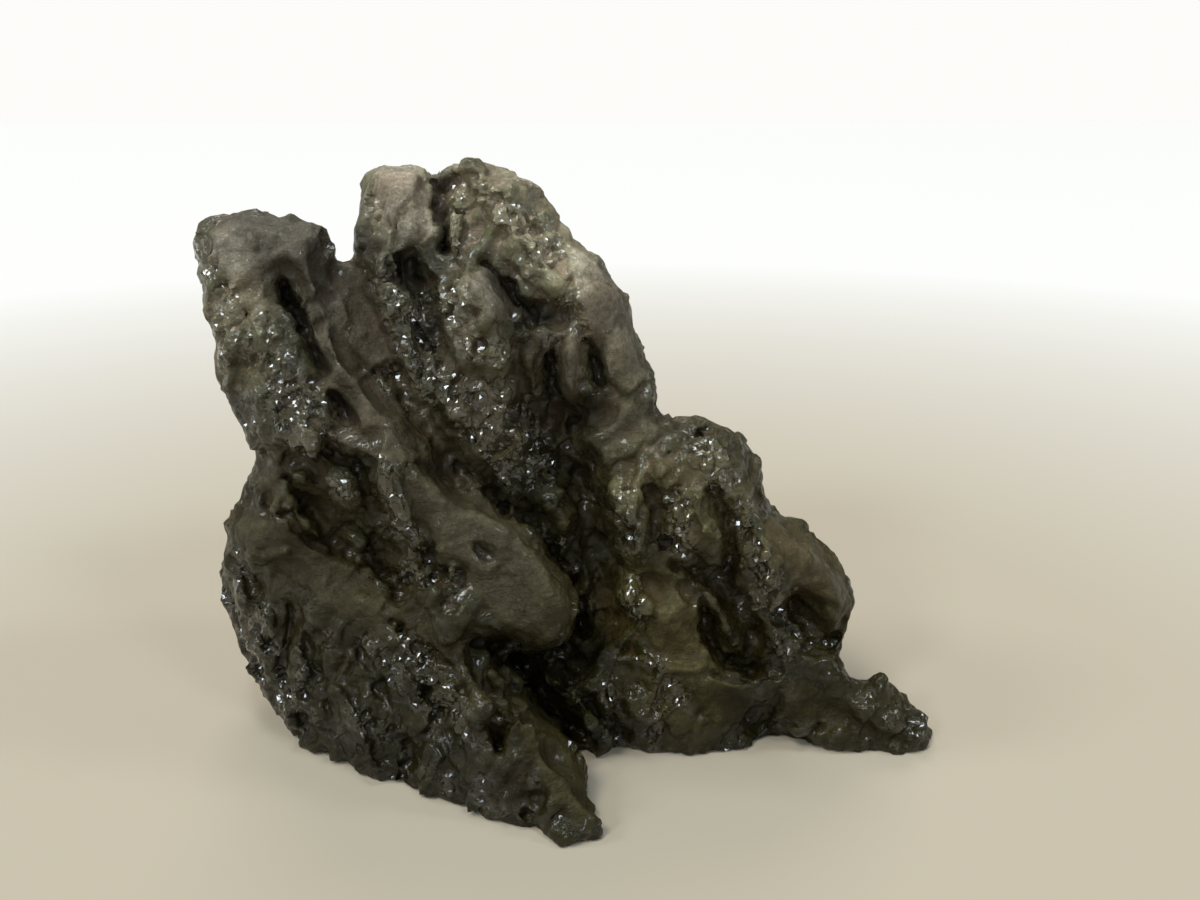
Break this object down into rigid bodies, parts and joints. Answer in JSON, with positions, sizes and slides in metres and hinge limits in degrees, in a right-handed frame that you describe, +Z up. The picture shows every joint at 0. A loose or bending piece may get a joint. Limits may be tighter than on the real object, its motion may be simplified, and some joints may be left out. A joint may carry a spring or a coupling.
{
  "type": "viewing stone",
  "caption": "Mountain-shaped natural stone of wet dark rock, with steep clefts, hollows and a flat foot, for display on a tray, stand or table.",
  "frame": {"origin": "middle of the underside of the stone's box, on the surface that it rests on", "axes": "+Z up, +X along the stone's length to the viewer's right, and +Y away from the viewer, so that the display face looks towards -Y"},
  "size_m": [0.3186, 0.1594, 0.2437],
  "materials": {
    "rock": "wet, glossy dark rock"
  },
  "bodies": {
    "root": {"stone": "rock"}
  },
  "joints": []
}
